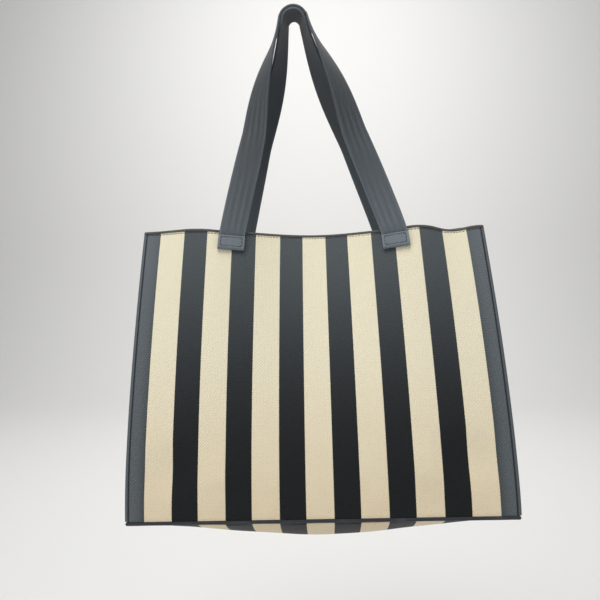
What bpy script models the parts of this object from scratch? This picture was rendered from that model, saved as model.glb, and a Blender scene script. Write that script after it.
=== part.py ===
"""Striped canvas tote bag with two strap handles, hung by its handles from a peg.

Metres, +X to the right across the front, +Y towards the wall behind, +Z up.
The world origin is the hang point: the top of the peg, under the handles.
Shapes are worked out in bag coordinates, whose origin is the middle of the
front bottom edge, and each object is placed under an empty on its joint's axis.
"""

import math

import bmesh
import bpy
from mathutils import Vector

# Overall sizes
PANEL_WIDTH = 0.400
FRONT_HEIGHT = 0.2975       # rim above the front bottom edge, at the sides
BACK_HEIGHT = 0.3095
BASE_DEPTH = 0.145
CLOTH = 0.002
GAP = 0.0003                # left between pieces that touch

# How the hanging cloth lies
LEAN_CENTRE = 0.098         # how far the front rim lies behind the front bottom edge
LEAN_SIDE = 0.067
LEAN_POWER = 1.4
BOW_HALF_WIDTH = 0.130      # the rim is straight outside this
RIM_DIP = 0.005             # the middle of the front rim hangs lower
TOP_NARROWING = 0.012       # the bowed rim pulls each front corner in
SWAY = -0.005               # the rims hang to the peg's side of the base
BASE_TILT = 0.021           # the base hangs askew: it rises this much per metre to the right
BACK_DROP = 0.020           # the back bottom edge hangs lower than the front one
BASE_SAG = 0.030
SIDE_SAG = 0.004
SAG_POWER = 1.6

# Trim
PIPING_RADIUS = 0.0018
FACING_HEIGHT = 0.026
FACING_THICKNESS = 0.001
FACING_RISE = 0.0012        # the facing's fold stands above the cloth's cut edge
SEAM_INSET = 0.004
THREAD_RADIUS = 0.0004

# Straps
STRAP_WIDTH = 0.029
STRAP_THICKNESS = 0.0024
BACK_ARCH_CONE = math.radians(12)    # the back strap's edge by the wall lies closer to the peg
STRAP_NESTING_GAP = 0.0005 + STRAP_WIDTH / 2 * math.sin(BACK_ARCH_CONE)
TAB_HEIGHT = 0.0165
TAB_DROP = 0.0055           # from the rim down to a tab's top
TAB_LEAN = math.radians(3)  # each tab is pulled askew, towards the peg
TAB_SPACING = 0.182
FRONT_TWIST_POWER = 1.5
BACK_TWIST_POWER = 1.2
LEG_START = 0.15            # how far a strap keeps its tab's direction
LEG_END = 0.45
LEVEL_SHARE = 0.08          # this share of a leg keeps its width level with the tab
STRAP_BELLY = 0.0021 + 0.10 * STRAP_WIDTH   # the legs of the front strap bow out, the others in
BELLY_START = 0.45
BOX_STITCH_INSET = 0.003
BOX_STITCH_GROOVE = 0.0014
BOX_STITCH_DEPTH = 0.0011

# The peg that the handles hang on
PEG_RADIUS = 0.0090
PEG_STANDOFF = 0.038        # from the peg's middle forward of the base's back edge
PEG_TILT = math.radians(5)
HANG_POINT = Vector((-0.0257, BASE_DEPTH - PEG_STANDOFF, 0.5465))

UP = Vector((0, 0, 1))
ACROSS = Vector((1, 0, 0))
BACKWARD = Vector((0, 1, 0))
SIDES = {"left": -1, "right": 1}
SEAM_CLEARANCE = GAP + 0.6 * CLOTH
PIPING_CLEARANCE = PIPING_RADIUS + GAP
SLANT = 1.30                # a sheet that leans and turns is this much thicker along Y
FRONT_COLUMNS = 20


def clear_scene():
    for obj in list(bpy.data.objects):
        bpy.data.objects.remove(obj, do_unlink=True)


def material(name, colour, roughness, metallic=0.0):
    mat = bpy.data.materials.new(name)
    mat.use_nodes = True
    shader = mat.node_tree.nodes["Principled BSDF"]
    shader.inputs["Base Color"].default_value = (*colour, 1.0)
    shader.inputs["Roughness"].default_value = roughness
    shader.inputs["Metallic"].default_value = metallic
    return mat


def empty(name, place):
    """A pivot at a place in bag coordinates."""
    pivot = bpy.data.objects.new(name, None)
    pivot.location = place - HANG_POINT
    pivot["bag_place"] = place
    bpy.context.collection.objects.link(pivot)
    return pivot


def put(obj, pivot, mat):
    """Link an object whose data are in bag coordinates and hang it on its pivot."""
    obj.data.materials.append(mat)
    obj.parent = pivot
    obj.location = -Vector(pivot["bag_place"])
    bpy.context.collection.objects.link(obj)
    return obj


def cloth_sheet(name, surface, across, along, thickness, pivot, mat):
    """A sheet of even thickness centred on surface(u, v), with u and v from 0 to 1."""
    bm = bmesh.new()
    bmesh.ops.create_grid(bm, x_segments=across, y_segments=along, size=0.5)
    for vert in bm.verts:
        vert.co = surface(vert.co.x + 0.5, vert.co.y + 0.5)
    mesh = bpy.data.meshes.new(name)
    bm.to_mesh(mesh)
    bm.free()
    mesh.shade_smooth()
    mesh.set_sharp_from_angle(angle=math.radians(40))
    obj = put(bpy.data.objects.new(name, mesh), pivot, mat)
    solidify = obj.modifiers.new("thickness", "SOLIDIFY")
    solidify.thickness = thickness
    solidify.offset = 0.0
    solidify.use_even_offset = True
    return obj


def cord(name, points, radius, pivot, mat, cyclic=False):
    """A round cord or thread through the points."""
    curve = bpy.data.curves.new(name, "CURVE")
    curve.dimensions = "3D"
    curve.bevel_depth = radius
    curve.bevel_resolution = 1
    curve.use_fill_caps = True
    spline = curve.splines.new("POLY")
    spline.points.add(len(points) - 1)
    for spot, point in zip(spline.points, points):
        spot.co = (*point, 1.0)
    spline.use_cyclic_u = cyclic
    return put(bpy.data.objects.new(name, curve), pivot, mat)


# The panels' surfaces, in bag coordinates

def ease(amount):
    """A smooth step from 0 to 1 that starts and ends level."""
    return 0.5 - 0.5 * math.cos(math.pi * min(max(amount, 0.0), 1.0))


def askew(across, up):
    """How far a place is raised because the base hangs askew under a level rim."""
    return BASE_TILT * across * (1 - up)


def front_surface(across, up, behind=0.0):
    """Front panel: across is metres from the middle, up runs 0 to 1, behind is an offset back."""
    bow = ease(abs(across) / BOW_HALF_WIDTH)
    lean = (LEAN_CENTRE + (LEAN_SIDE - LEAN_CENTRE) * bow) * up ** LEAN_POWER
    height = PIPING_CLEARANCE + (FRONT_HEIGHT - RIM_DIP * (1 - bow) - PIPING_CLEARANCE) * up
    pull = 2 * TOP_NARROWING / PANEL_WIDTH * up ** LEAN_POWER
    return Vector((across * (1 - pull) + SWAY * up, lean + behind, height + askew(across, up)))


def back_surface(across, up, ahead=0.0):
    """Back panel, flat against the wall; ahead is an offset towards the front."""
    bottom = PIPING_CLEARANCE - BACK_DROP
    height = bottom + (BACK_HEIGHT - PIPING_CLEARANCE) * up + askew(across, up)
    return Vector((across + SWAY * up, BASE_DEPTH - ahead, height))


def base_surface(across, back):
    """The middle of the base's cloth; back runs 0 to 1 from front to back."""
    share = 1 - abs(2 * across / PANEL_WIDTH) ** SAG_POWER
    depth = SIDE_SAG + (BASE_SAG - SIDE_SAG) * share
    sag = BACK_DROP * back + 4 * depth * back * (1 - back)
    return Vector((across, BASE_DEPTH * back, askew(across, 0) - sag))


def gusset_surface(side, back, up, inside=0.0):
    """Gusset with its inward pleat; back and up run 0 to 1, inside is an offset into the bag."""
    corner = PANEL_WIDTH / 2 - CLOTH / 2
    front_edge = front_surface(side * corner, up, CLOTH + SEAM_CLEARANCE)
    back_edge = back_surface(side * corner, up, CLOTH + SEAM_CLEARANCE)
    span = back_edge - front_edge
    fold = math.sqrt(max(BASE_DEPTH ** 2 - span.length ** 2, 0.0)) / 2
    point = front_edge + span * back
    pleat = 1 - abs(2 * back - 1)
    point.x -= side * (fold * pleat + inside * BASE_DEPTH / span.length)
    point.z -= 4 * SIDE_SAG * back * (1 - back) * (1 - up) ** 4
    return point


def direction(surface, across, up, step_across, step_up):
    """Unit direction along a surface at one place, from a small step each way."""
    ahead = surface(across + step_across, up + step_up)
    behind = surface(across - step_across, up - step_up)
    return (ahead - behind).normalized()


def add_panels(cloth, root, front):
    half = PANEL_WIDTH / 2

    def front_middle(u, v):
        return front_surface((2 * u - 1) * half, v, CLOTH / 2)

    def back_middle(u, v):
        return back_surface((2 * u - 1) * half, v, CLOTH / 2)

    def base_middle(u, v):
        across = (2 * u - 1) * (half - CLOTH / 2 - PIPING_CLEARANCE - CLOTH / 2)
        inset = CLOTH + PIPING_CLEARANCE + CLOTH / 2
        back = (inset + (BASE_DEPTH - 2 * inset) * v) / BASE_DEPTH
        return base_surface(across, back)

    cloth_sheet("front_panel", front_middle, FRONT_COLUMNS, 8, CLOTH, front, cloth)
    cloth_sheet("back_panel", back_middle, 1, 1, CLOTH, root, cloth)
    cloth_sheet("base_panel", base_middle, 14, 8, CLOTH, root, cloth)
    for word, side in SIDES.items():
        # The grid's turn is mirrored with the side, so both gussets face outwards.
        def gusset_middle(u, v, side=side):
            return gusset_surface(side, u if side > 0 else 1 - u, v)

        cloth_sheet(word + "_gusset", gusset_middle, 6, 8, CLOTH, root, cloth)


def add_facings(tape, root, front):
    """Tape turned into the mouth all round, whose fold shows above the cloth as the rim."""
    behind = CLOTH / 2 + SLANT * (CLOTH / 2 + GAP + FACING_THICKNESS / 2)
    columns = FRONT_COLUMNS - 2
    reach = PANEL_WIDTH / 2 * columns / FRONT_COLUMNS

    def heights(panel_height):
        return 1 - FACING_HEIGHT / panel_height, 1 + FACING_RISE / panel_height

    def front_tape(u, v):
        low, high = heights(FRONT_HEIGHT)
        return front_surface((2 * u - 1) * reach, low + (high - low) * v, behind)

    def back_tape(u, v):
        low, high = heights(BACK_HEIGHT)
        return back_surface((2 * u - 1) * reach, low + (high - low) * v, behind)

    cloth_sheet("front_facing", front_tape, columns, 2, FACING_THICKNESS, front, tape)
    cloth_sheet("back_facing", back_tape, 1, 1, FACING_THICKNESS, root, tape)
    for word, side in SIDES.items():
        def gusset_tape(u, v, side=side):
            low, high = heights(BACK_HEIGHT)
            back = 0.12 + 0.76 * (u if side > 0 else 1 - u)
            inside = SLANT * (CLOTH / 2 + GAP + FACING_THICKNESS / 2)
            return gusset_surface(side, back, low + (high - low) * v, inside)

        cloth_sheet(word + "_facing", gusset_tape, 6, 2, FACING_THICKNESS, root, tape)


def add_piping(mat, root):
    """Piping round the base: front and back run full width, the sides fit between them."""
    half = PANEL_WIDTH / 2
    ends = [Vector((side * half, 0, askew(side * half, 0))) for side in SIDES.values()]
    near = CLOTH / 2
    far = BASE_DEPTH - CLOTH / 2
    cord("front_piping", [e + near * BACKWARD for e in ends], PIPING_RADIUS, root, mat)
    cord("back_piping", [e + far * BACKWARD - BACK_DROP * UP for e in ends], PIPING_RADIUS, root, mat)
    first = near + PIPING_RADIUS + PIPING_CLEARANCE
    last = far - PIPING_RADIUS - PIPING_CLEARANCE
    steps = 10
    for word, side in SIDES.items():
        points = []
        for step in range(steps + 1):
            back = (first + (last - first) * step / steps) / BASE_DEPTH
            points.append(base_surface(side * half, back) - ACROSS * side * near)
        cord(word + "_piping", points, PIPING_RADIUS, root, mat)


def add_seam_threads(mat, root, front):
    """A line of topstitching down each corner, just inside the panel's edge."""
    across = PANEL_WIDTH / 2 - SEAM_INSET
    off = THREAD_RADIUS + GAP
    steps = 12
    for word, side in SIDES.items():
        spots = [0.02 + 0.96 * step / steps for step in range(steps + 1)]
        line = [front_surface(side * across, up, -1.5 * off) for up in spots]
        cord("front_" + word + "_seam_thread", line, THREAD_RADIUS, front, mat)
        line = [back_surface(side * across, up, -off) for up in (spots[0], spots[-1])]
        cord("back_" + word + "_seam_thread", line, THREAD_RADIUS, root, mat)


# Straps

class TabFrame:
    """Where a strap's sewn end lies on its panel: its own axes and its top middle."""

    def __init__(self, surface, across, outward):
        self.up = direction(surface, across, 0.96, 0.0, 0.01)
        width = direction(surface, across, 0.96, 0.001, 0.0)
        self.width = (width - self.up * width.dot(self.up)).normalized()
        self.out = self.width.cross(self.up)
        if self.out.y * outward.y < 0:
            self.out.negate()
        lean = math.copysign(TAB_LEAN, across)
        self.top = surface(across, 1.0) - self.up * TAB_DROP
        self.up = self.up * math.cos(lean) - self.width * math.sin(lean)

    def at(self, along_width, along_up, along_out):
        return self.top + self.width * along_width + self.up * along_up + self.out * along_out


def add_tab(name, frame, mat, thread, pivot):
    """A strap end folded double and sewn down, with a groove round its box of stitching."""
    near = GAP
    far = GAP + 2 * STRAP_THICKNESS
    bm = bmesh.new()
    bmesh.ops.create_cube(bm, size=1.0)
    for vert in bm.verts:
        height = TAB_HEIGHT * (vert.co.y - 0.5)
        depth = near + (far - near) * (vert.co.z + 0.5)
        vert.co = Vector((STRAP_WIDTH * vert.co.x, height, depth))
    outer = max(bm.faces, key=lambda face: face.calc_center_median().z)
    inset = BOX_STITCH_INSET - BOX_STITCH_GROOVE / 2
    bmesh.ops.inset_region(bm, faces=[outer], thickness=inset, use_even_offset=True)
    groove = BOX_STITCH_GROOVE
    ring = bmesh.ops.inset_region(bm, faces=[outer], thickness=groove, use_even_offset=True)["faces"]
    raised = bmesh.ops.extrude_face_region(bm, geom=ring)["geom"]
    sunk = [item for item in raised if isinstance(item, bmesh.types.BMVert)]
    bmesh.ops.translate(bm, verts=sunk, vec=(0, 0, -BOX_STITCH_DEPTH))
    bmesh.ops.delete(bm, geom=[face for face in ring if face.is_valid], context="FACES_ONLY")
    for vert in bm.verts:
        vert.co = frame.at(*vert.co)
    bmesh.ops.recalc_face_normals(bm, faces=bm.faces)
    mesh = bpy.data.meshes.new(name)
    bm.to_mesh(mesh)
    bm.free()
    put(bpy.data.objects.new(name, mesh), pivot, mat)

    side = STRAP_WIDTH / 2 - BOX_STITCH_INSET
    top = -BOX_STITCH_INSET
    bottom = BOX_STITCH_INSET - TAB_HEIGHT
    depth = far - THREAD_RADIUS
    corners = ((-side, top), (side, top), (side, bottom), (-side, bottom))
    box = [frame.at(x, y, depth) for x, y in corners]
    cord(name + "_box_stitch", box, THREAD_RADIUS * 0.8, pivot, thread, cyclic=True)


def peg_centre():
    """Middle of the peg, seen along its tilted axis."""
    return HANG_POINT - peg_up() * PEG_RADIUS


def peg_along():
    return Vector((0, math.cos(PEG_TILT), math.sin(PEG_TILT)))


def peg_up():
    return Vector((0, -math.sin(PEG_TILT), math.cos(PEG_TILT)))


def arch_cone(facing):
    return BACK_ARCH_CONE if facing > 0 else 0.0


def strap_leg(frame, side, arch_radius, facing):
    """Stations up one leg, from its tab to the peg: middle, width direction, outward normal."""
    start = frame.at(0.0, GAP, GAP + 1.5 * STRAP_THICKNESS)
    to_tab = start - peg_centre()
    reach = Vector((to_tab.x, to_tab.dot(peg_up())))
    angle = math.atan2(reach.y, reach.x) + side * math.acos(arch_radius / reach.length)
    radial = ACROSS * math.cos(angle) + peg_up() * math.sin(angle)
    end = peg_centre() + radial * arch_radius
    rising = (ACROSS * math.sin(angle) - peg_up() * math.cos(angle)) * -side
    rising += BACKWARD * ((end.y - start.y) / (end - start).length)
    rising.normalize()
    length = (end - start).length
    yaw = math.atan2(frame.out.x, facing * frame.out.y) * -side
    power = FRONT_TWIST_POWER if facing < 0 else BACK_TWIST_POWER
    last_turn = math.pi / 2 - arch_cone(facing)

    def middle(t):
        """The middle line, without its belly."""
        return (
            start * (2 * t ** 3 - 3 * t ** 2 + 1)
            + frame.up * length * LEG_START * (t ** 3 - 2 * t ** 2 + t)
            + end * (3 * t ** 2 - 2 * t ** 3)
            + rising * length * LEG_END * (t ** 3 - t ** 2)
        )

    def climbed(t):
        return min((middle(t) - start).length / length, 1.0)

    def bowed(t):
        bow = math.sin(math.pi * max(climbed(t) - BELLY_START, 0.0) / (1 - BELLY_START))
        return middle(t) - ACROSS * side * facing * STRAP_BELLY * bow ** 1.3

    stations = []
    steps = 20
    nearby = 1e-3
    for step in range(steps + 1):
        t = step / steps
        tangent = (bowed(min(t + nearby, 1)) - bowed(max(t - nearby, 0))).normalized()
        turn = (last_turn + yaw) * climbed(t) ** power - yaw
        out = Vector((side * math.sin(turn), facing * math.cos(turn), 0))
        out = (out - tangent * out.dot(tangent)).normalized()
        across = tangent.cross(out) * side * facing
        sewn = frame.width if across.dot(frame.width) > 0 else -frame.width
        level = max(1 - climbed(t) / LEVEL_SHARE, 0.0)
        stations.append((bowed(t), across.lerp(sewn, level), out))
    return stations, angle


def strap_stations(frames, arch_radius, facing):
    """Stations all along a handle, from the left tab over the peg to the right tab."""
    left, left_angle = strap_leg(frames["left"], -1, arch_radius, facing)
    right, right_angle = strap_leg(frames["right"], 1, arch_radius, facing)
    left_angle %= 2 * math.pi
    cone = arch_cone(facing)
    arch = []
    steps = 12
    for step in range(1, steps):
        angle = left_angle + (right_angle - left_angle) * step / steps
        radial = ACROSS * math.cos(angle) + peg_up() * math.sin(angle)
        width = peg_along() * math.cos(cone) - radial * math.sin(cone)
        out = radial * math.cos(cone) + peg_along() * math.sin(cone)
        arch.append((peg_centre() + radial * arch_radius, width, out))
    ordered = left + arch + right[::-1]
    smooth = []
    for middle, across, out in ordered:
        if smooth and across.dot(smooth[-1][1]) < 0:
            across = -across
        smooth.append((middle, across, out))
    return smooth


def add_handle(name, frames, arch_radius, facing, pivot, mat):
    stations = strap_stations(frames, arch_radius, facing)
    last = len(stations) - 1

    def strap_middle(u, v):
        middle, across, out = stations[round(v * last)]
        return middle + across * STRAP_WIDTH * (u - 0.5)

    cloth_sheet(name, strap_middle, 2, last, STRAP_THICKNESS, pivot, mat)


def strap_hinge(frames, facing):
    """The line that a handle bends about: just ahead of its ends and level with them."""
    frame = frames["left"]
    start = frame.at(0.0, GAP, GAP + 1.5 * STRAP_THICKNESS)
    ahead = STRAP_WIDTH / 2 * abs(frame.width.y) + STRAP_THICKNESS / 2 + 2 * GAP
    return Vector((0, start.y + facing * ahead, start.z))


def build():
    clear_scene()
    cloth = material("striped_canvas", (0.50, 0.44, 0.34), 0.85)
    tape = material("rim_tape", (0.19, 0.17, 0.15), 0.8)
    strap = material("strap", (0.05, 0.065, 0.08), 0.5)
    piping = material("piping", (0.03, 0.035, 0.045), 0.6)
    thread = material("thread", (0.02, 0.022, 0.03), 0.7)

    tabs = {word: side * TAB_SPACING / 2 for word, side in SIDES.items()}
    spread = 1 / (1 - 2 * TOP_NARROWING / PANEL_WIDTH)
    front_frames = {w: TabFrame(front_surface, x * spread, -BACKWARD) for w, x in tabs.items()}
    back_frames = {w: TabFrame(back_surface, x, BACKWARD) for w, x in tabs.items()}

    root = empty("bag_root", HANG_POINT.copy())
    front = empty("mouth_axis", Vector((0, CLOTH / 2, 0)))
    front_grip = empty("front_handle_axis", strap_hinge(front_frames, -1))
    back_grip = empty("back_handle_axis", strap_hinge(back_frames, 1))

    add_panels(cloth, root, front)
    add_facings(tape, root, front)
    add_piping(piping, root)
    add_seam_threads(thread, root, front)
    for word in SIDES:
        add_tab("front_" + word + "_tab", front_frames[word], strap, thread, front)
        add_tab("back_" + word + "_tab", back_frames[word], strap, thread, root)
    back_arch = PEG_RADIUS + STRAP_THICKNESS / 2
    front_arch = back_arch + STRAP_THICKNESS + STRAP_NESTING_GAP
    add_handle("front_handle", front_frames, front_arch, -1, front_grip, strap)
    add_handle("back_handle", back_frames, back_arch, 1, back_grip, strap)


build()
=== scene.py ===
import math

import bmesh
import bpy
from mathutils import Matrix, Vector


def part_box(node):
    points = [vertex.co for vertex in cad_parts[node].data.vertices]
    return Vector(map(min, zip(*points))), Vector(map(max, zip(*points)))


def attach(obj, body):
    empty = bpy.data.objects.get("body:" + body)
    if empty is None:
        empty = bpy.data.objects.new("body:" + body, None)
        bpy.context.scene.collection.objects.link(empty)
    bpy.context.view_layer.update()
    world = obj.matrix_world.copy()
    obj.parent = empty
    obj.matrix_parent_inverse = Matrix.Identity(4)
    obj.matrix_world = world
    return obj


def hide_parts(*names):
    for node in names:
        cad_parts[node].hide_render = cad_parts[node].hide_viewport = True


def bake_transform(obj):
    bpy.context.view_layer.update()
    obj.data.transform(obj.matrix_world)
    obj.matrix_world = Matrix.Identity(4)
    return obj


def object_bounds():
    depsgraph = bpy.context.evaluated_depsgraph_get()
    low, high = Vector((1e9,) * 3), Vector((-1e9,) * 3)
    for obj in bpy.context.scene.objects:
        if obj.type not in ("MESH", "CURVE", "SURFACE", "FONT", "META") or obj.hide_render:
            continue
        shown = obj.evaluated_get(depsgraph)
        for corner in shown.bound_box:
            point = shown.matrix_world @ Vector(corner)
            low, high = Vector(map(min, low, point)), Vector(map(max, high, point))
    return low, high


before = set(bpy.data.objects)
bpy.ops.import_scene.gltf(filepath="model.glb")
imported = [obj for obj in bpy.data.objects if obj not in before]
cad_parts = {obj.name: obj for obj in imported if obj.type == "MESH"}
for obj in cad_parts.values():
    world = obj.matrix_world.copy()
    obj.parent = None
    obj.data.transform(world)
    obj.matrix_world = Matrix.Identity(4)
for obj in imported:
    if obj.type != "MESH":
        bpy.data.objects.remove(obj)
cad_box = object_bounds()


# The front panel. Heavy cotton canvas about 2 mm thick, woven in broad cream and near-black
# stripes and turned in at its sides. It is sewn to the base along its bottom edge and leans
# back from there to the rim, whose middle bows in towards the wall.

CLOTH = 0.002
PANEL_WIDTH = 0.400
FRONT_HEIGHT = 0.2975
LEAN_CENTRE = 0.098
LEAN_SIDE = 0.067
LEAN_POWER = 1.4
BOW_HALF_WIDTH = 0.130
RIM_DIP = 0.005
TOP_NARROWING = 0.012
SWAY = -0.005
BASE_TILT = 0.021            # the base hangs askew under the rim, its left end lower
PIPING_RADIUS = 0.0018
PIPING_CLEARANCE = 0.0021
CORNER_ROLL = 0.0035         # this much of the panel's side turns round the corner seam
RIPPLE = 0.0006
DENT_DEPTH = 0.0035

STRIPE_PITCH = 0.0552
CREAM_WIDTH = 0.0283
STRIPE_TEETH = 0.00018       # the stripes' borders step in and out by this much
WEAVE_ACROSS = 0.0031
WEAVE_UP = 0.0036
SEAM_INSET = 0.004           # from a side edge in to its row of stitches
CREAM = (0.87, 0.81, 0.62, 1)
CREAM_SHADE = (0.62, 0.52, 0.34, 1)
# the cream towards the bottom, darkened by painted shade and soiling
CREAM_SHADED_SOILED = (0.72, 0.54, 0.34, 1)
BLACK = (0.005, 0.006, 0.007, 1)
# the dark stripes' painted sheen towards the top
BLACK_TOP_SHEEN = (0.115, 0.135, 0.146, 1)
# the outermost dark stripes' painted sheen
BLACK_CORNER_SHEEN = (0.185, 0.212, 0.230, 1)
PIT = (0.004, 0.004, 0.005, 1)

# The bag's own origin is the middle of its front bottom edge, where the piping runs.
piping_low, piping_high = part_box("front_piping")
ORIGIN = (Vector(piping_low) + Vector(piping_high)) / 2 - Vector((0, CLOTH / 2, 0))


class Wire:
    """A socket in a material that takes part in sums; node() adds any other node."""

    def __init__(self, tree, socket=None):
        self.tree = tree
        self.socket = socket

    def node(self, kind, settings=None, inputs=None, output=0):
        made = self.tree.nodes.new(kind)
        for name, value in (settings or {}).items():
            if name == "stops":
                made.color_ramp.elements.remove(made.color_ramp.elements[1])
                made.color_ramp.elements[0].position, made.color_ramp.elements[0].color = value[0]
                for place, colour in value[1:]:
                    made.color_ramp.elements.new(place).color = colour
            else:
                setattr(made, name, value)
        for name, value in (inputs or {}).items():
            if isinstance(value, Wire):
                self.tree.links.new(value.socket, made.inputs[name])
            else:
                made.inputs[name].default_value = value
        return Wire(self.tree, made.outputs[output])

    def sum(self, operation, *values):
        return self.node("ShaderNodeMath", {"operation": operation}, dict(enumerate(values)))

    def __add__(self, other):
        return self.sum("ADD", self, other)

    __radd__ = __add__

    def __mul__(self, other):
        return self.sum("MULTIPLY", self, other)

    __rmul__ = __mul__

    def __sub__(self, other):
        return self.sum("SUBTRACT", self, other)

    def __rsub__(self, other):
        return self.sum("SUBTRACT", other, self)

    def wave(self, pitch):
        """Rises and falls between -1 and 1 once in each pitch."""
        return (self * (2 * math.pi / pitch)).sum("COSINE", self * (2 * math.pi / pitch))

    def step(self, low, high):
        """A smooth step from 0 at low to 1 at high."""
        inputs = {"Value": self, "From Min": low, "From Max": high}
        return self.node("ShaderNodeMapRange", {"interpolation_type": "SMOOTHSTEP"}, inputs)

    def mix(self, first, second):
        """From the first colour to the second as this value goes from 0 to 1."""
        inputs = {0: self, 6: first, 7: second}
        return self.node("ShaderNodeMix", {"data_type": "RGBA"}, inputs, output=2)

    def noise(self, size, detail=2.0):
        """Soft noise between 0 and 1 whose patches are about this many metres across."""
        inputs = {"Vector": self, "Scale": 1 / size, "Detail": detail}
        return self.node("ShaderNodeTexNoise", {}, inputs)

    def part(self, letter):
        return self.node("ShaderNodeSeparateXYZ", {}, {"Vector": self}, output=letter)


def finish(name, constants):
    """A new material: its shader, and a wire that carries the piece's flat UV map in metres."""
    mat = bpy.data.materials.new(name)
    mat.use_nodes = True
    shader = mat.node_tree.nodes["Principled BSDF"]
    for socket, value in constants.items():
        shader.inputs[socket].default_value = value
    return mat, Wire(mat.node_tree).node("ShaderNodeUVMap", {"uv_map": "flat"})


def dress(mat, height, depth, **sockets):
    """Link the colour and roughness wires, and bump the surface by height times depth metres."""
    tree = mat.node_tree
    shader = tree.nodes["Principled BSDF"]
    for name, wire in sockets.items():
        tree.links.new(wire.socket, shader.inputs[name.replace("_", " ")])
    bump = height.node("ShaderNodeBump", {}, {"Height": height, "Distance": depth, "Strength": 1.0})
    tree.links.new(bump.socket, shader.inputs["Normal"])


canvas, flat = finish("striped_canvas", {"Sheen Weight": 0.06, "Sheen Roughness": 0.5,
                                         "Specular IOR Level": 0.22})
across = flat.part("X")
up = flat.part("Y")
from_middle = across.sum("ABSOLUTE", across)
drift = flat.noise(0.050) - 0.5
across_yarns = across + drift * 0.0010
up_yarns = up + drift * 0.0014
floats = 0.5 + 0.5 * across_yarns.wave(WEAVE_ACROSS) * up_yarns.wave(WEAVE_UP)
columns = 0.5 + 0.5 * across_yarns.wave(WEAVE_ACROSS / 2)
slub = flat.noise(0.0020, 3.0)
teeth = up_yarns.wave(WEAVE_UP / 2) * STRIPE_TEETH + (slub - 0.5) * 0.0003
from_cream = across.sum("PINGPONG", across, STRIPE_PITCH / 2) + teeth
dark_stripe = from_cream.step(CREAM_WIDTH / 2 - 0.0002, CREAM_WIDTH / 2 + 0.0002)
pits = 1 - floats.step(0.0, 0.36)
# Painted shade and soiling: the cream is made darker and warmer towards the bottom, in uneven
# patches.
low = 1 - up.step(-0.02, 0.20)
lower_shade_and_soil = low * (0.35 + 0.6 * flat.noise(0.040, 3.0))
cream = (pits * 0.6 + (1 - columns) * 0.16).mix(CREAM, CREAM_SHADE)
cream = (lower_shade_and_soil * 0.8).mix(cream, CREAM_SHADED_SOILED)
cream = (slub.step(0.5, 0.8) * 0.3).mix(cream, CREAM_SHADE)
# Painted sheen: the dark stripes are made paler towards the top, where the panel leans back towards
# the light above.
rising = up.step(-0.02, 0.34)
# Painted sheen: the outermost dark stripes are made paler where the panel curves round its corners.
corner_sheen = from_middle.step(0.166, 0.192)
black = (rising * rising * (0.6 + 0.5 * slub)).mix(BLACK, BLACK_TOP_SHEEN)
black = (corner_sheen * (0.4 + 0.5 * slub)).mix(black, BLACK_CORNER_SHEEN)
black = (pits * 0.55 + (1 - columns) * 0.25).mix(black, PIT)
off_seam = from_middle - (PANEL_WIDTH / 2 - SEAM_INSET)
seam = 1 - off_seam.sum("ABSOLUTE", off_seam).step(0.0002, 0.0014)
edge = off_seam.step(0.0012, 0.0030)
black = (edge * (0.35 + 0.5 * slub)).mix(black, (0.10, 0.115, 0.125, 1))
cloth_colour = (seam * 0.8).mix(dark_stripe.mix(cream, black), PIT)
surface_height = floats.step(0.0, 0.7) * 0.45 + columns * 0.40 + slub * 0.3 - seam * 1.2
dress(canvas, surface_height, 0.0005, Base_Color=cloth_colour,
      Roughness=0.80 - 0.24 * dark_stripe + 0.14 * pits)


def ease(amount):
    """A smooth step from 0 to 1 that starts and ends level."""
    return 0.5 - 0.5 * math.cos(math.pi * min(max(amount, 0.0), 1.0))


def swell(at, middle, reach):
    """1 at the middle, and nothing past its reach on either side."""
    return ease(1 - abs(at - middle) / reach)


def rim_wave(across):
    """The rim rises a little outside each tab, and dips before the corners."""
    rise = 0.0026 * swell(across, 0.123, 0.034) - 0.0026 * swell(across, 0.163, 0.028)
    rise += 0.0022 * swell(across, -0.140, 0.045) - 0.0008 * swell(across, -0.200, 0.030)
    return rise + 0.0014 * swell(across, 0.200, 0.030)


def askew(across, up):
    """How far a place is raised because the base hangs askew under a level rim."""
    return BASE_TILT * across * (1 - up)


def front_surface(across, up, behind=0.0):
    """The front panel's outer face: metres across from its middle, and 0 to 1 up it."""
    bow = ease(abs(across) / BOW_HALF_WIDTH)
    top = max(up, 0)
    lean = (LEAN_CENTRE + (LEAN_SIDE - LEAN_CENTRE) * bow) * top ** LEAN_POWER
    lean += 0.0030 * swell(across, 0.163, 0.030) * top ** 5
    height = PIPING_CLEARANCE + (FRONT_HEIGHT - RIM_DIP * (1 - bow) - PIPING_CLEARANCE) * up
    height += askew(across, up) + rim_wave(across) * top ** 6
    narrowing = TOP_NARROWING * (1.25 if across > 0 else 1.0)
    pull = 2 * narrowing / PANEL_WIDTH * top ** LEAN_POWER
    return Vector((across * (1 - pull) + SWAY * up, lean + behind, height))


def mound(across, up, place, reach):
    """A soft round bump, 1 at its middle and nothing past its reach."""
    away = math.hypot((across - place[0]) / reach[0], (up - place[1]) / reach[1])
    return ease(1 - away)


def front_relief(across, up):
    """How far the hanging cloth stands in from the even surface."""
    free = ease(up / 0.15) * ease((1 - up) / 0.08)
    slow = math.sin(across * 31 + 2.1 * up + 0.6) * math.sin(up * 4.6 + across * 9)
    relief = RIPPLE * slow * free
    relief += DENT_DEPTH * mound(across, up, (-0.150, 0.16), (0.045, 0.13))
    relief += DENT_DEPTH * mound(across, up, (0.152, 0.19), (0.050, 0.14))
    relief -= 0.6 * DENT_DEPTH * mound(across, up, (-0.105, 0.14), (0.040, 0.12))
    relief -= 0.6 * DENT_DEPTH * mound(across, up, (0.102, 0.16), (0.045, 0.12))
    return relief * free


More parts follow.
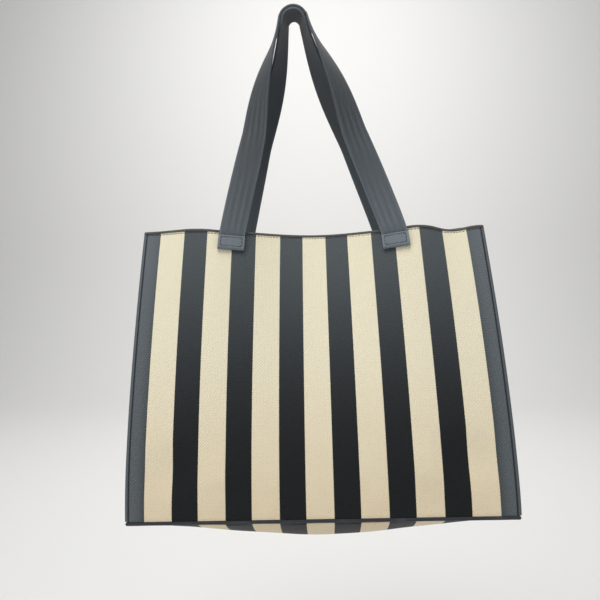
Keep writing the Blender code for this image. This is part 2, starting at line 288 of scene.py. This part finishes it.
def corner_roll(across):
    """How far the edge turns back round the corner seam."""
    past = max(abs(across) - (PANEL_WIDTH / 2 - CORNER_ROLL), 0) / CORNER_ROLL
    return 0.0014 * past * past


def settle(obj):
    """Make an object's modifiers part of its mesh."""
    bpy.context.view_layer.update()
    evaluated = obj.evaluated_get(bpy.context.evaluated_depsgraph_get())
    mesh = bpy.data.meshes.new_from_object(evaluated)
    obj.modifiers.clear()
    obj.data = mesh


def sewn_piece(name, place, columns, rows, flat_size, thickness, mat, edge=0.0):
    """A grid of cloth placed by place(s, t), with its flat size as a UV map in metres."""
    bm = bmesh.new()
    bmesh.ops.create_grid(bm, x_segments=columns, y_segments=rows, size=0.5)
    layer = bm.loops.layers.uv.new("flat")
    for face in bm.faces:
        for loop in face.loops:
            spot = loop.vert.co
            loop[layer].uv = (spot.x * flat_size[0], (spot.y + 0.5) * flat_size[1])
    for vert in bm.verts:
        vert.co = place(vert.co.x + 0.5, vert.co.y + 0.5) + ORIGIN
    bmesh.ops.remove_doubles(bm, verts=bm.verts, dist=1e-6)
    mesh = bpy.data.meshes.new(name)
    bm.to_mesh(mesh)
    bm.free()
    mesh.shade_smooth()
    mesh.materials.append(mat)
    obj = bpy.data.objects.new(name, mesh)
    bpy.context.collection.objects.link(obj)
    if thickness:
        solidify = obj.modifiers.new("thickness", "SOLIDIFY")
        solidify.thickness = thickness
        solidify.offset = 0.0
    if edge:
        bevel = obj.modifiers.new("edge", "BEVEL")
        bevel.width = edge
        bevel.segments = 2
        bevel.angle_limit = math.radians(50)
    settle(obj)
    return obj


def front_cloth(s, t):
    across = (s - 0.5) * PANEL_WIDTH
    return front_surface(across, t, CLOTH / 2 + front_relief(across, t) + corner_roll(across))


front_canvas = sewn_piece("front_canvas", front_cloth, 110, 80, (PANEL_WIDTH, 0.308), CLOTH,
                          canvas, edge=0.0006)
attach(front_canvas, "front")
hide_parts("front_panel")


# The back panel. The same striped canvas, hanging straight down against the wall. Its bottom
# edge lies a little lower than the front one, and the base is sewn to it there.

BASE_DEPTH = 0.145
BACK_HEIGHT = 0.3095
BACK_DROP = 0.020


def back_surface(across, up, ahead=0.0):
    """The back panel's outer face: metres across from its middle, and 0 to 1 up it."""
    bottom = PIPING_CLEARANCE - BACK_DROP
    height = bottom + (BACK_HEIGHT - PIPING_CLEARANCE) * up + askew(across, up)
    return Vector((across + SWAY * up, BASE_DEPTH - ahead, height))


def back_cloth(s, t):
    across = (s - 0.5) * PANEL_WIDTH
    slack = 0.0008 * math.sin(across * 26 + 1.0) * math.sin(math.pi * t) * math.sin(3 + 5 * t)
    return back_surface(across, t, CLOTH / 2 + corner_roll(across) + abs(slack))


back_canvas = sewn_piece("back_canvas", back_cloth, 90, 60, (PANEL_WIDTH, BACK_HEIGHT), CLOTH,
                         canvas, edge=0.0006)
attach(back_canvas, "bag")
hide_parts("back_panel")


# The base. One strip of the striped canvas between the two bottom edges, its stripes running
# on from the front panel. Nothing stiffens it, so it sags under its own weight.

BASE_SAG = 0.030
SIDE_SAG = 0.004
SAG_POWER = 1.6
BASE_CLOTH_DEPTH = 0.165


def base_surface(across, back):
    """The middle of the base's cloth; back runs 0 to 1 from front to back."""
    share = 1 - abs(2 * across / PANEL_WIDTH) ** SAG_POWER
    depth = SIDE_SAG + (BASE_SAG - SIDE_SAG) * share
    sag = BACK_DROP * back + 4 * depth * back * (1 - back)
    return Vector((across, BASE_DEPTH * back, askew(across, 0) - sag))


def base_cloth(s, t):
    across = (s - 0.5) * (PANEL_WIDTH - 2 * CLOTH)
    inset = CLOTH / 2 + PIPING_RADIUS / 2
    back = (inset + (BASE_DEPTH - 2 * inset) * t) / BASE_DEPTH
    pucker = 0.0007 * math.sin(across * 64 + 1.7) * math.sin(across * 23) * (1 - back) ** 2
    return base_surface(across, back) + Vector((0, 0, pucker))


base_canvas = sewn_piece("base_canvas", base_cloth, 100, 40,
                         (PANEL_WIDTH - 2 * CLOTH, BASE_CLOTH_DEPTH), CLOTH, canvas, edge=0.0006)
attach(base_canvas, "bag")
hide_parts("base_panel")


# The gussets. Two side strips of the same canvas, as wide as the base is deep, sewn to both
# panels. With the bag hanging shut each folds inwards along its middle in one long pleat.

GUSSET_HEIGHT = 0.305
SEAM_TUCK = 0.0022
PLEAT_SOFTNESS = 0.012
side_of = {"left": -1, "right": 1}


def gusset_surface(side, back, up, inside=0.0):
    """A gusset with its pleat; back and up run 0 to 1, inside is an offset into the bag."""
    corner = PANEL_WIDTH / 2 - CLOTH / 2
    front_edge = front_surface(side * corner, up, SEAM_TUCK)
    back_edge = back_surface(side * corner, up, SEAM_TUCK)
    span = back_edge - front_edge
    fold = math.sqrt(max(BASE_DEPTH ** 2 - span.length ** 2, 0.0)) / 2
    point = front_edge + span * back
    full = math.sqrt(1 + PLEAT_SOFTNESS)
    pleat = (full - math.sqrt((2 * back - 1) ** 2 + PLEAT_SOFTNESS)) / (full - PLEAT_SOFTNESS)
    point.x -= side * (fold * pleat + inside * BASE_DEPTH / span.length)
    point.z -= 4 * SIDE_SAG * back * (1 - back) * (1 - up) ** 4
    return point


def follow_the_front(piece):
    """Bake a side piece's placement into its mesh."""
    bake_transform(piece)


for word, side in side_of.items():
    def gusset_cloth(s, t, side=side):
        return gusset_surface(side, s if side > 0 else 1 - s, t)

    gusset = sewn_piece(word + "_gusset_canvas", gusset_cloth, 60, 60,
                        (BASE_DEPTH, GUSSET_HEIGHT), CLOTH, canvas, edge=0.0006)
    follow_the_front(gusset)
    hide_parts(word + "_gusset")


# The rim tape. A taupe ribbed cotton tape, 26 mm deep inside the mouth, which is folded over
# the cloth's cut edge so that a narrow line of it shows outside, and stitched down.

TAPE_DEPTH = 0.026
TAPE = 0.001
TAPE_SHOWS = 0.0010
TAPE_RISE = 0.0010
TAPE_WIDTH = TAPE_DEPTH + 0.006
RIM_INSET = 0.0008           # the tape ends this much short of the two sides together
TAPE_COLOUR = (0.130, 0.122, 0.112, 1)
TAPE_SHADE = (0.050, 0.046, 0.042, 1)

tape, flat = finish("rim_tape", {"Sheen Weight": 0.1, "Specular IOR Level": 0.3})
ribs = 0.5 + 0.5 * flat.part("X").wave(0.0011)
fuzz = flat.noise(0.0016, 3.0)
rib_colour = (ribs * 0.6 + fuzz * 0.4).mix(TAPE_SHADE, TAPE_COLOUR)
rib_colour = (flat.noise(0.020).step(0.45, 0.8) * 0.3).mix(rib_colour, (0.17, 0.155, 0.135, 1))
dress(tape, ribs * 0.7 + fuzz * 0.3, 0.0003, Base_Color=rib_colour, Roughness=0.92 - 0.1 * ribs)


def tape_profile(t):
    """Across the folded tape: its offset into the bag and its height over the cut edge."""
    inside = CLOTH / 2 + TAPE / 2 + 0.0002
    bend = inside
    run = t * (TAPE_DEPTH + math.pi * bend + TAPE_SHOWS)
    if run < TAPE_DEPTH:
        return inside, run - TAPE_DEPTH
    run -= TAPE_DEPTH
    if run < math.pi * bend:
        angle = run / bend
        return bend * math.cos(angle), TAPE_RISE * math.sin(angle)
    return -bend, math.pi * bend - run


def rim_tape(name, surface, height, width, columns):
    """A length of tape folded over the top of a panel; surface(s, up, inside) is its middle."""
    def folded(s, t):
        offset, rise = tape_profile(t)
        return surface(s, 1 + rise / height, offset)

    return sewn_piece(name, folded, columns, 34, (width, TAPE_WIDTH), TAPE, tape, edge=0.0003)


def front_rim(s, up, offset):
    across = (s - 0.5) * (PANEL_WIDTH - RIM_INSET)
    return front_surface(across, up, CLOTH / 2 + offset + corner_roll(across))


def back_rim(s, up, offset):
    across = (s - 0.5) * (PANEL_WIDTH - RIM_INSET)
    return back_surface(across, up, CLOTH / 2 + offset + corner_roll(across))


front_tape = rim_tape("front_rim_tape", front_rim, FRONT_HEIGHT, PANEL_WIDTH, 90)
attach(front_tape, "front")
back_tape = rim_tape("back_rim_tape", back_rim, BACK_HEIGHT, PANEL_WIDTH, 60)
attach(back_tape, "bag")
side_tapes = {}
for word, side in side_of.items():
    def gusset_rim(s, up, offset, side=side):
        back = 0.03 + 0.94 * (s if side > 0 else 1 - s)
        return gusset_surface(side, back, up, offset * 0.6)

    side_tapes[word] = rim_tape(word + "_rim_tape", gusset_rim, BACK_HEIGHT, BASE_DEPTH, 60)
    follow_the_front(side_tapes[word])
tapes = {"front": front_tape, "back": back_tape, **side_tapes}
for word, piece in tapes.items():
    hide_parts(word + "_facing")
    wide = PANEL_WIDTH if word in ("front", "back") else BASE_DEPTH


# The piping. A 3.6 mm cord wrapped in bias-cut dark cloth, caught in the seam all round the
# base. The front and back lengths run the full width, and the side ones between them.

PIPING_COLOUR = (0.024, 0.027, 0.033, 1)
PIPING_WORN = (0.075, 0.080, 0.090, 1)

piping, flat = finish("piping", {"Sheen Weight": 0.25, "Sheen Roughness": 0.4,
                                 "Specular IOR Level": 0.4})
slant = (flat.part("Y") + flat.part("X") * 0.8).wave(0.0010)
fuzz = flat.noise(0.0020, 3.0)
paling = flat.noise(0.018, 3.0).step(0.5, 0.75)
piping_colour = (paling * 0.5 + fuzz * 0.2).mix(PIPING_COLOUR, PIPING_WORN)
dress(piping, slant * 0.4 + fuzz, 0.0003, Base_Color=piping_colour, Roughness=0.6 + 0.25 * fuzz)


def spline(points, t):
    """A point on the polyline through the points, t from 0 to 1, and the way it runs there."""
    place = min(max(t, 0.0), 1.0) * (len(points) - 1)
    first = min(int(place), len(points) - 2)
    return points[first].lerp(points[first + 1], place - first), points[first + 1] - points[first]


def wrapped_cord(name, points, radius, mat, rings, lumps=0.0):
    """A closed round cord along the points, its ends drawn in."""
    length = sum((b - a).length for a, b in zip(points, points[1:]))

    def skin(s, t):
        end = min(t, 1 - t) * length / radius
        swell = math.sqrt(max(1 - (1 - min(end, 1)) ** 2, 0))
        swell *= 1 + lumps * math.sin(t * length / 0.006) * math.sin(t * length / 0.0171)
        middle, run = spline(points, t)
        run.normalize()
        side = run.cross(Vector((0, 0, 1))).normalized()
        top = side.cross(run)
        angle = 2 * math.pi * s
        return middle + (side * math.cos(angle) + top * math.sin(angle)) * radius * swell

    return sewn_piece(name, skin, 14, rings, (2 * math.pi * radius, length), 0.0, mat)


half = PANEL_WIDTH / 2
near = CLOTH / 2
far = BASE_DEPTH - CLOTH / 2
routes = {
    "front": [Vector((x, near, askew(x, 0))) for x in (-half, half)],
    "back": [Vector((x, far, askew(x, 0) - BACK_DROP)) for x in (-half, half)],
}
for word, side in side_of.items():
    spots = [(near + 0.003 + (far - near - 0.006) * step / 24) / BASE_DEPTH for step in range(25)]
    routes[word] = [base_surface(side * half, b) - Vector((side * near, 0, 0)) for b in spots]
for word, route in routes.items():
    cord = wrapped_cord(word + "_piping_cord", route, PIPING_RADIUS, piping, 240, lumps=0.03)
    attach(cord, "bag")
    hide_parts(word + "_piping")


# The corner and rim topstitching. Rows of dark lockstitch: one down each side of both panels,
# 4 mm in from the corner, and one round the rim that holds the tape down.

THREAD = 0.00042
STITCH = 0.0027
STITCH_PITCH = 0.0034
PROUD = 0.0001               # a stitch lies this much proud of the cloth
RIM_ROW_DROP = 0.0029        # from the rim down to its row of stitches
THREAD_COLOUR = (0.016, 0.018, 0.022, 1)

thread, flat = finish("thread", {"Specular IOR Level": 0.3})
plies = (flat.part("Y") + flat.part("X") * 0.5).wave(0.0005)
thread_colour = (0.5 + 0.5 * plies).mix(THREAD_COLOUR, (0.05, 0.055, 0.065, 1))
dress(thread, plies, 0.0001, Base_Color=thread_colour, Roughness=0.55 + 0.1 * plies)


def stitching(name, rows, mat, radius=THREAD, stitch=STITCH, pitch=STITCH_PITCH):
    """Rows of separate stitches; each row is a list of points and of the cloth's outward way."""
    bm = bmesh.new()
    layer = bm.loops.layers.uv.new("flat")
    for points, outward in rows:
        length = sum((b - a).length for a, b in zip(points, points[1:]))
        count = max(int(length / pitch), 1)
        for number in range(count):
            middle, run = spline(points, (number + 0.5) / count)
            run.normalize()
            side = run.cross(outward).normalized()
            out = side.cross(run)
            made = bmesh.ops.create_uvsphere(bm, u_segments=6, v_segments=5, radius=1.0)
            made = made["verts"]
            faces = {face for vert in made for face in vert.link_faces}
            for face in faces:
                face.smooth = True
                for loop in face.loops:
                    spot = loop.vert.co
                    loop[layer].uv = (spot.x * radius, spot.z * stitch / 2)
            for vert in made:
                x, y, z = vert.co
                shift = side * x * radius + out * y * radius * 0.8 + run * z * stitch / 2
                vert.co = middle + shift + ORIGIN
    bmesh.ops.recalc_face_normals(bm, faces=bm.faces)
    mesh = bpy.data.meshes.new(name)
    bm.to_mesh(mesh)
    bm.free()
    mesh.materials.append(mat)
    obj = bpy.data.objects.new(name, mesh)
    bpy.context.collection.objects.link(obj)
    return obj


FORWARD = Vector((0, -1, 0))
BACKWARD = Vector((0, 1, 0))
seam_line = PANEL_WIDTH / 2 - SEAM_INSET
for word, side in side_of.items():
    spots = [0.012 + 0.965 * step / 60 for step in range(61)]
    line = [front_surface(side * seam_line, t, front_relief(side * seam_line, t) - PROUD)
            for t in spots]
    row = stitching("front_" + word + "_corner_stitches", [(line, FORWARD)], thread)
    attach(row, "front")
    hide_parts("front_" + word + "_seam_thread")
    line = [back_surface(side * seam_line, t, -PROUD) for t in spots]
    row = stitching("back_" + word + "_corner_stitches", [(line, BACKWARD)], thread)
    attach(row, "bag")
    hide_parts("back_" + word + "_seam_thread")

across_spots = [(step / 120 - 0.5) * (PANEL_WIDTH - 0.008) for step in range(121)]
front_level = 1 - RIM_ROW_DROP / FRONT_HEIGHT
back_level = 1 - RIM_ROW_DROP / BACK_HEIGHT
rim_rows = {
    "front": ([front_surface(x, front_level, -PROUD) for x in across_spots], FORWARD),
    "back": ([back_surface(x, back_level, -PROUD) for x in across_spots], BACKWARD),
}
for word, row in rim_rows.items():
    rim_stitches = stitching(word + "_rim_stitches", [row], thread)
    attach(rim_stitches, "front" if word == "front" else "bag")


# The strap tabs. Each end of a handle is held by a folded piece of the same webbing, 29 mm
# wide, with its fold downwards, sewn to the panel at the rim with a box of stitching.

STRAP_WIDTH = 0.029
STRAP = 0.0024
GAP = 0.0003
TAB_HEIGHT = 0.0165
TAB_DROP = 0.0055
TAB_LEAN = math.radians(3)   # each tab is pulled askew, towards the peg
TAB_SPACING = 0.182
BOX_INSET = 0.0028
WEBBING = (0.016, 0.021, 0.026, 1)
# WEBBING_LIGHT is the paler yarn colour, and also the colour of the painted sheen
WEBBING_LIGHT = (0.190, 0.226, 0.256, 1)
WEBBING_DEEP = (0.010, 0.012, 0.015, 1)
WEBBING_SHEET = STRAP * 0.94     # how thick the webbing itself is
STRAP_LENGTH = 0.56


def webbing_finish(name, length, still_dark, palest, end_sheen):
    """Dense satin webbing, painted paler this far from its middle as a painted sheen: from still
    dark to palest.
    """
    mat, flat = finish(name, {"Sheen Weight": 0.20, "Sheen Roughness": 0.4,
                              "Specular IOR Level": 0.45})
    across = flat.part("X")
    along = flat.part("Y")
    fuzz = flat.noise(0.0014, 3.0)
    chevron = across.sum("PINGPONG", across, 0.0036)
    ribs = 0.5 + 0.5 * (along + chevron).wave(0.0012)
    cords = 0.5 + 0.5 * across.wave(0.0012)
    from_middle = across.sum("ABSOLUTE", across)
    selvedge = from_middle.step(STRAP_WIDTH / 2 - 0.0022, STRAP_WIDTH / 2 - 0.0017)
    height = (1 - selvedge) * (ribs * 0.6 + cords * 0.25) + selvedge * cords * 0.5 + fuzz * 0.3
    from_top = (along - length / 2).sum("ABSOLUTE", along - length / 2)
    # Painted sheen: paler towards the strap ends and all over the tabs, where the webbing leans
    # back towards the light above, with a few random paler patches.
    paling = from_top.step(still_dark, palest) * end_sheen
    paling = paling + flat.noise(0.030, 3.0).step(0.45, 0.8) * 0.05
    yarn = (ribs * cords * 0.12 + fuzz * 0.22 + paling * 0.8).mix(WEBBING, WEBBING_LIGHT)
    yarn = ((1 - ribs).step(0.6, 1.0) * 0.35).mix(yarn, WEBBING_DEEP)
    yarn = (selvedge * 0.15).mix(yarn, WEBBING_LIGHT)
    dress(mat, height, 0.00025, Base_Color=yarn, Roughness=0.40 + 0.2 * fuzz)
    return mat


# The straps get a painted sheen near their ends, and the tabs a painted sheen all over.
webbing = webbing_finish("strap_webbing", STRAP_LENGTH, 0.16, 0.28, 0.45)
tab_sheen_finish = webbing_finish("tab_webbing", 2 * TAB_HEIGHT, -0.002, -0.001, 0.85)


def direction(surface, across, up, step_across, step_up):
    """The way a surface runs at one place, from a small step each way."""
    ahead = surface(across + step_across, up + step_up)
    behind = surface(across - step_across, up - step_up)
    return (ahead - behind).normalized()


class TabPlace:
    """Where a tab is sewn to its panel: its own axes and the middle of its top."""

    def __init__(self, surface, across, outward):
        self.up = direction(surface, across, 0.96, 0.0, 0.01)
        width = direction(surface, across, 0.96, 0.001, 0.0)
        self.width = (width - self.up * width.dot(self.up)).normalized()
        self.out = self.width.cross(self.up)
        if self.out.y * outward.y < 0:
            self.out.negate()
        lean = math.copysign(TAB_LEAN, across)
        self.top = surface(across, 1.0) - self.up * TAB_DROP
        self.up = self.up * math.cos(lean) - self.width * math.sin(lean)

    def at(self, along_width, along_up, along_out):
        return self.top + self.width * along_width + self.up * along_up + self.out * along_out


spread = 1 / (1 - 2 * TOP_NARROWING / PANEL_WIDTH)
tab_places = {"front": {}, "back": {}}
for word, side in side_of.items():
    at = side * TAB_SPACING / 2
    tab_places["front"][word] = TabPlace(front_surface, at * spread, FORWARD)
    tab_places["back"][word] = TabPlace(back_surface, at, BACKWARD)


def tab_profile(t):
    """Along the folded tab: height under its top and depth out from the panel."""
    inner = GAP + STRAP / 2
    outer = GAP + 1.5 * STRAP
    bend = (outer - inner) / 2
    straight = TAB_HEIGHT - bend - STRAP / 2
    run = t * (2 * straight + math.pi * bend)
    if run < straight:
        return -run, inner
    if run < straight + math.pi * bend:
        angle = (run - straight) / bend
        return -straight - bend * math.sin(angle), inner + bend - bend * math.cos(angle)
    return run - 2 * straight - math.pi * bend, outer


def tab_webbing(name, place, panel):
    flip = 1 if place.width.cross(place.up).dot(place.out) > 0 else -1

    def folded(s, t):
        height, depth = tab_profile(t)
        crown = 0.0003 * ease(1 - abs(2 * s - 1))
        depth += crown if t > 0.5 else 0
        return place.at(flip * (s - 0.5) * STRAP_WIDTH, height, depth)

    piece = sewn_piece(name + "_webbing", folded, 16, 44, (STRAP_WIDTH, 2 * TAB_HEIGHT),
                       WEBBING_SHEET, tab_sheen_finish, edge=0.0005)
    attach(piece, panel)
    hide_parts(name)


def box_of_stitches(name, place, panel):
    side = STRAP_WIDTH / 2 - BOX_INSET
    top = -BOX_INSET * 0.8
    bottom = BOX_INSET + 0.0012 - TAB_HEIGHT
    depth = GAP + 2 * STRAP + 0.0001
    corners = [(-side, top), (side, top), (side, bottom), (-side, bottom), (-side, top)]
    rows = [([place.at(*a, depth), place.at(*b, depth)], place.out)
            for a, b in zip(corners, corners[1:])]
    piece = stitching(name + "_stitches", rows, thread, radius=0.0005, stitch=0.0022, pitch=0.0029)
    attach(piece, panel)
    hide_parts(name + "_box_stitch")


for panel, places in tab_places.items():
    body = "front" if panel == "front" else "bag"
    for word, place in places.items():
        tab_webbing(panel + "_" + word + "_tab", place, body)
        box_of_stitches(panel + "_" + word + "_tab", place, body)


# The handles. Two 29 mm dark webbing straps. Each rises flat from its tabs, turns edge on to
# the front as it climbs, and passes over the peg, the front strap lying on the back one.

PEG_RADIUS = 0.0090
PEG_TILT = math.radians(5)
STRAP_NESTING_GAP = 0.003515     # room for the back strap's wider front edge
FRONT_TWIST_POWER = 1.5
BACK_TWIST_POWER = 1.2
LEG_START = 0.15             # how far a strap keeps its tab's direction
LEG_END = 0.45
LEVEL_SHARE = 0.08           # this share of a leg keeps its width level with the tab
STRAP_BELLY = 0.0050         # the front strap's legs bow out and the back strap's in
BELLY_START = 0.45
BACK_ARCH_CONE = math.radians(12)    # the back strap's edge by the wall lies closer to the peg
HANG_POINT = -ORIGIN          # the top of the peg is the middle of everything
PEG_UP = Vector((0, -math.sin(PEG_TILT), math.cos(PEG_TILT)))
PEG_ALONG = Vector((0, math.cos(PEG_TILT), math.sin(PEG_TILT)))
PEG_CENTRE = HANG_POINT - PEG_UP * PEG_RADIUS
ACROSS = Vector((1, 0, 0))


def arch_cone(facing):
    return BACK_ARCH_CONE if facing > 0 else 0.0


def strap_leg(place, side, arch_radius, facing, steps=44):
    """Stations up one leg, from its tab to the peg: middle, width direction, outward way."""
    start = place.at(0.0, GAP, GAP + 1.5 * STRAP)
    to_tab = start - PEG_CENTRE
    reach = Vector((to_tab.x, to_tab.dot(PEG_UP)))
    angle = math.atan2(reach.y, reach.x) + side * math.acos(arch_radius / reach.length)
    radial = ACROSS * math.cos(angle) + PEG_UP * math.sin(angle)
    end = PEG_CENTRE + radial * arch_radius
    rising = (ACROSS * math.sin(angle) - PEG_UP * math.cos(angle)) * -side
    rising += BACKWARD * ((end.y - start.y) / (end - start).length)
    rising.normalize()
    length = (end - start).length
    yaw = math.atan2(place.out.x, facing * place.out.y) * -side
    power = FRONT_TWIST_POWER if facing < 0 else BACK_TWIST_POWER
    last_turn = math.pi / 2 - arch_cone(facing)

    def middle(t):
        """The middle line, without its belly."""
        return (
            start * (2 * t ** 3 - 3 * t ** 2 + 1)
            + place.up * length * LEG_START * (t ** 3 - 2 * t ** 2 + t)
            + end * (3 * t ** 2 - 2 * t ** 3)
            + rising * length * LEG_END * (t ** 3 - t ** 2)
        )

    def climbed(t):
        return min((middle(t) - start).length / length, 1.0)

    def bowed(t):
        bow = math.sin(math.pi * max(climbed(t) - BELLY_START, 0.0) / (1 - BELLY_START))
        return middle(t) - ACROSS * side * facing * STRAP_BELLY * bow ** 1.3

    stations = []
    nearby = 1e-3
    for step in range(steps + 1):
        t = step / steps
        tangent = (bowed(min(t + nearby, 1)) - bowed(max(t - nearby, 0))).normalized()
        turn = (last_turn + yaw) * climbed(t) ** power - yaw
        out = Vector((side * math.sin(turn), facing * math.cos(turn), 0))
        out = (out - tangent * out.dot(tangent)).normalized()
        across = tangent.cross(out) * side * facing
        sewn = place.width if across.dot(place.width) > 0 else -place.width
        level = max(1 - climbed(t) / LEVEL_SHARE, 0.0)
        stations.append((bowed(t), across.lerp(sewn, level), out))
    return stations, angle


def strap_stations(places, arch_radius, facing, steps=24):
    """Stations all along a handle, from the left tab over the peg to the right tab."""
    left, left_angle = strap_leg(places["left"], -1, arch_radius, facing)
    right, right_angle = strap_leg(places["right"], 1, arch_radius, facing)
    left_angle %= 2 * math.pi
    cone = arch_cone(facing)
    arch = []
    for step in range(1, steps):
        angle = left_angle + (right_angle - left_angle) * step / steps
        radial = ACROSS * math.cos(angle) + PEG_UP * math.sin(angle)
        width = PEG_ALONG * math.cos(cone) - radial * math.sin(cone)
        out = radial * math.cos(cone) + PEG_ALONG * math.sin(cone)
        arch.append((PEG_CENTRE + radial * arch_radius, width, out))
    smooth = []
    for middle, width, out in left + arch + right[::-1]:
        if smooth and width.dot(smooth[-1][1]) < 0:
            width = -width
        smooth.append((middle, width, out))
    return smooth


def handle(name, panel, arch_radius, facing):
    stations = strap_stations(tab_places[panel], arch_radius, facing)
    last = len(stations) - 1
    length = sum((b[0] - a[0]).length for a, b in zip(stations, stations[1:]))

    def strap(s, t):
        middle, width, out = stations[round(t * last)]
        cup = 0.0004 * (1 - (2 * s - 1) ** 2)
        return middle + width * STRAP_WIDTH * 0.985 * (s - 0.5) + out * (cup - 0.0002)

    piece = sewn_piece(name + "_webbing", strap, 12, last, (STRAP_WIDTH, length),
                       WEBBING_SHEET, webbing, edge=0.0005)
    place = tab_places[panel]["left"]
    foot = ORIGIN + place.at(0.0, GAP, GAP + 1.5 * STRAP)
    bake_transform(piece)
    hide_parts(name)
    print(name, "length", round(length, 4))


back_arch = PEG_RADIUS + STRAP / 2
handle("front_handle", "front", back_arch + STRAP + STRAP_NESTING_GAP, -1)
handle("back_handle", "back", back_arch, 1)


# The studio. A pale sweep that is floor and backdrop in one, a large soft light above and to
# the left, a weaker one on the right, and pale air. The camera looks straight at the front.

FLOOR = cad_box[0][2] - 0.42


def matte(name, colour):
    mat = bpy.data.materials.new(name)
    mat.use_nodes = True
    mat.node_tree.nodes["Principled BSDF"].inputs["Base Color"].default_value = colour
    mat.node_tree.nodes["Principled BSDF"].inputs["Roughness"].default_value = 0.9
    return mat


bm = bmesh.new()
corner = bm.verts.new((-6, -4, FLOOR))
sweep = bmesh.ops.extrude_vert_indiv(bm, verts=[corner])
bmesh.ops.translate(bm, verts=sweep["verts"], vec=(0, 6.5, 0))
bend = bmesh.ops.spin(bm, geom=sweep["verts"], cent=(-6, 2.5, FLOOR + 1.0), axis=(1, 0, 0),
                      angle=math.pi / 2, steps=16)
wall = bmesh.ops.extrude_vert_indiv(bm, verts=[v for v in bend["geom_last"]
                                               if isinstance(v, bmesh.types.BMVert)])
bmesh.ops.translate(bm, verts=wall["verts"], vec=(0, 0, 4))
profile = list(bm.edges)
strip = bmesh.ops.extrude_edge_only(bm, edges=profile)
bmesh.ops.translate(bm, verts=[v for v in strip["geom"] if isinstance(v, bmesh.types.BMVert)],
                    vec=(12, 0, 0))
bmesh.ops.recalc_face_normals(bm, faces=bm.faces)
mesh = bpy.data.meshes.new("studio_sweep")
bm.to_mesh(mesh)
bm.free()
mesh.shade_smooth()
mesh.materials.append(matte("studio_pale", (0.80, 0.79, 0.77, 1)))
studio = bpy.data.objects.new("studio_sweep", mesh)
bpy.context.collection.objects.link(studio)


def soft_light(name, place, aim, size, power, colour=(1, 1, 1)):
    light = bpy.data.lights.new(name, "AREA")
    light.shape = "SQUARE"
    light.size = size
    light.energy = power
    light.color = colour
    obj = bpy.data.objects.new(name, light)
    obj.location = place
    obj.rotation_euler = (Vector(aim) - Vector(place)).to_track_quat("-Z", "Y").to_euler()
    bpy.context.collection.objects.link(obj)


bag_middle = (0.02, -0.04, -0.40)
soft_light("key_light", (-0.35, -1.05, 1.6), bag_middle, 1.5, 38, (1.0, 0.99, 0.97))
soft_light("left_light", (-1.15, -1.25, -0.1), bag_middle, 1.0, 6, (0.96, 0.98, 1.0))
soft_light("right_light", (1.25, -1.15, -0.1), bag_middle, 1.0, 4, (0.96, 0.98, 1.0))
soft_light("backdrop_light", (0.0, 1.2, 1.8), (0.0, 3.4, -0.4), 2.0, 60)

world = bpy.data.worlds.new("studio_air")
world.use_nodes = True
world.node_tree.nodes["Background"].inputs["Color"].default_value = (0.90, 0.94, 1.0, 1)
world.node_tree.nodes["Background"].inputs["Strength"].default_value = 0.22
bpy.context.scene.world = world
bpy.context.scene.view_settings.view_transform = "Standard"

YAW = math.radians(2.405)
PITCH = math.radians(-2.308)
ROLL = math.radians(-0.74)
lens = bpy.data.cameras.new("camera")
lens.sensor_width = 36
lens.lens = 36
camera = bpy.data.objects.new("camera", lens)
camera.location = (0.0328, -0.7018, -0.2991)
bpy.context.collection.objects.link(camera)
camera.rotation_euler = (Matrix.Rotation(YAW, 4, "Z") @ Matrix.Rotation(math.pi / 2 + PITCH, 4, "X")
                         @ Matrix.Rotation(ROLL, 4, "Z")).to_euler()
bpy.context.scene.camera = camera
